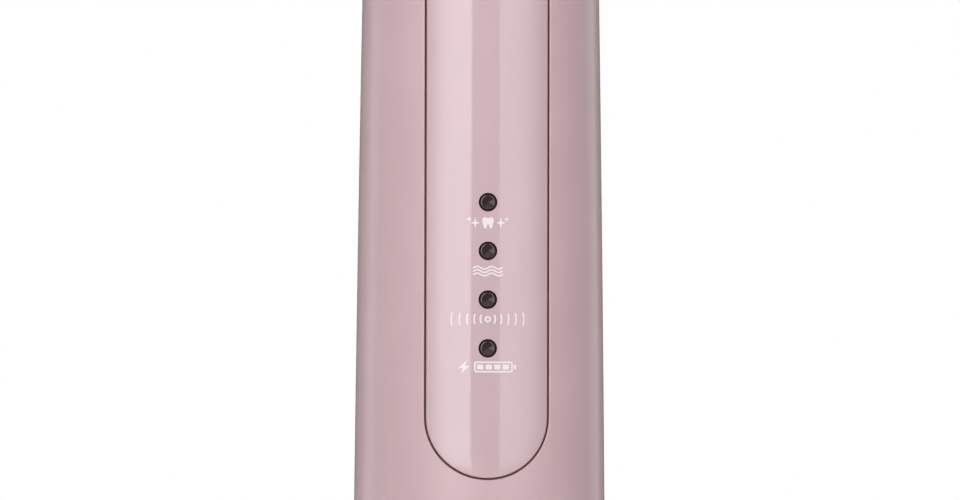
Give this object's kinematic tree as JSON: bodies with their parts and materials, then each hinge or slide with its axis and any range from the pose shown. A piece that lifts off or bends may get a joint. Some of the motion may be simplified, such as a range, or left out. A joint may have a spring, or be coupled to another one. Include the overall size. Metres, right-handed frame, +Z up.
{
  "type": "electric toothbrush on charger",
  "caption": "Sonic electric toothbrush with a round tapered handle, flush front panel and removable brush head, standing on a low inductive charging puck.",
  "frame": {"origin": "centre of the charger's foot ring, on the surface that the charger stands on", "axes": "+Z up along the handle; the control panel and the bristles face -Y; the power socket faces +Y; +X to the right seen from the front"},
  "size_m": [0.056, 0.056, 0.262],
  "materials": {
    "housing_pink": "satin, dusty pink",
    "panel_pink": "high gloss, dusty pink",
    "smoked_window": "smoked, near black",
    "base_grey": "fine moulded texture, light grey",
    "gasket_brown": "matt reddish brown rubber",
    "rubber_dark": "matt black rubber",
    "steel": "plain steel",
    "collar_metal": "polished, rose tinted",
    "head_white": "white, lightly glossed",
    "ring_rose": "deep rose",
    "bristle_white": "translucent white nylon",
    "bristle_rose": "rose nylon",
    "copper_wire": "enamelled copper",
    "bearing_bronze": "sintered bronze",
    "ferrite": "dark grey ferrite",
    "magnet_nickel": "nickel-plated magnet",
    "inner_white": "natural moulded plastic",
    "inner_black": "black moulded plastic",
    "board_green": "green solder mask",
    "lamp_white": "white lamp body",
    "cell_wrap": "shrink-wrapped cell",
    "lead_insulation": "red insulated lead"
  },
  "bodies": {
    "charger": {"charger_top_shell": "housing_pink", "charger_base_plate": "base_grey", "charger_foot_ring": "rubber_dark", "charger_seal": "rubber_dark", "charger_screws": "steel", "charger_board": "board_green", "charger_components": "inner_black", "transmitter_bobbin": "inner_white", "transmitter_coil": "copper_wire", "ferrite_rod": "ferrite", "socket_shell": "steel", "socket_tongue": "inner_black"},
    "handle": {"handle_shell": "housing_pink", "panel_gasket": "gasket_brown", "control_panel": "panel_pink", "charge_light_pipe": "smoked_window", "massage_light_pipe": "smoked_window", "soft_light_pipe": "smoked_window", "clean_light_pipe": "smoked_window", "base_cap": "housing_pink", "base_cap_seal": "rubber_dark", "receiver_bobbin": "inner_white", "receiver_coil": "copper_wire", "receiver_leads": "lead_insulation", "chassis": "inner_white", "battery_cell": "cell_wrap", "battery_tabs": "steel", "main_board": "board_green", "board_screws": "steel", "microcontroller": "inner_black", "board_components": "inner_black", "indicator_lights": "lamp_white", "light_baffle": "inner_white", "switch_body": "inner_black", "motor_can": "steel", "motor_rear_cap": "inner_white", "motor_leads": "lead_insulation", "stator_core": "steel", "stator_coil": "copper_wire", "bearing_bracket": "steel", "rear_bearing": "bearing_bronze", "front_bearing": "bearing_bronze", "motor_front_cap": "inner_white", "motor_damper": "rubber_dark", "motor_spacer": "inner_white", "shaft_seal": "rubber_dark", "neck_collar": "collar_metal"},
    "power_button": {"power_button": "panel_pink", "button_seal": "rubber_dark", "switch_plunger": "inner_white"},
    "rotor": {"drive_shaft": "steel", "rotor_core": "steel", "rotor_magnets": "magnet_nickel"},
    "brush_head": {"brush_neck": "head_white", "identity_ring": "ring_rose", "shaft_coupler": "inner_white", "inner_tufts": "bristle_rose", "outer_tufts": "bristle_white"}
  },
  "joints": [
    {"name": "handle_lift", "type": "slide", "parent": "charger", "child": "handle", "axis": [0, 0, 1], "range_m": [0, 0.03]},
    {"name": "button_press", "type": "slide", "parent": "handle", "child": "power_button", "axis": [0, 1, 0], "range_m": [0, 0.0004], "stiffness_N_per_m": 3000, "springref_m": -0.0002},
    {"name": "shaft_oscillation", "type": "hinge", "parent": "handle", "child": "rotor", "pos_m": [0, 0, 0.1595], "axis": [0, 0, 1], "range_deg": [-5, 5], "stiffness_Nm_per_rad": 0.05},
    {"name": "brush_head_pull", "type": "slide", "parent": "rotor", "child": "brush_head", "axis": [0, 0, 1], "range_m": [0, 0.025]}
  ]
}
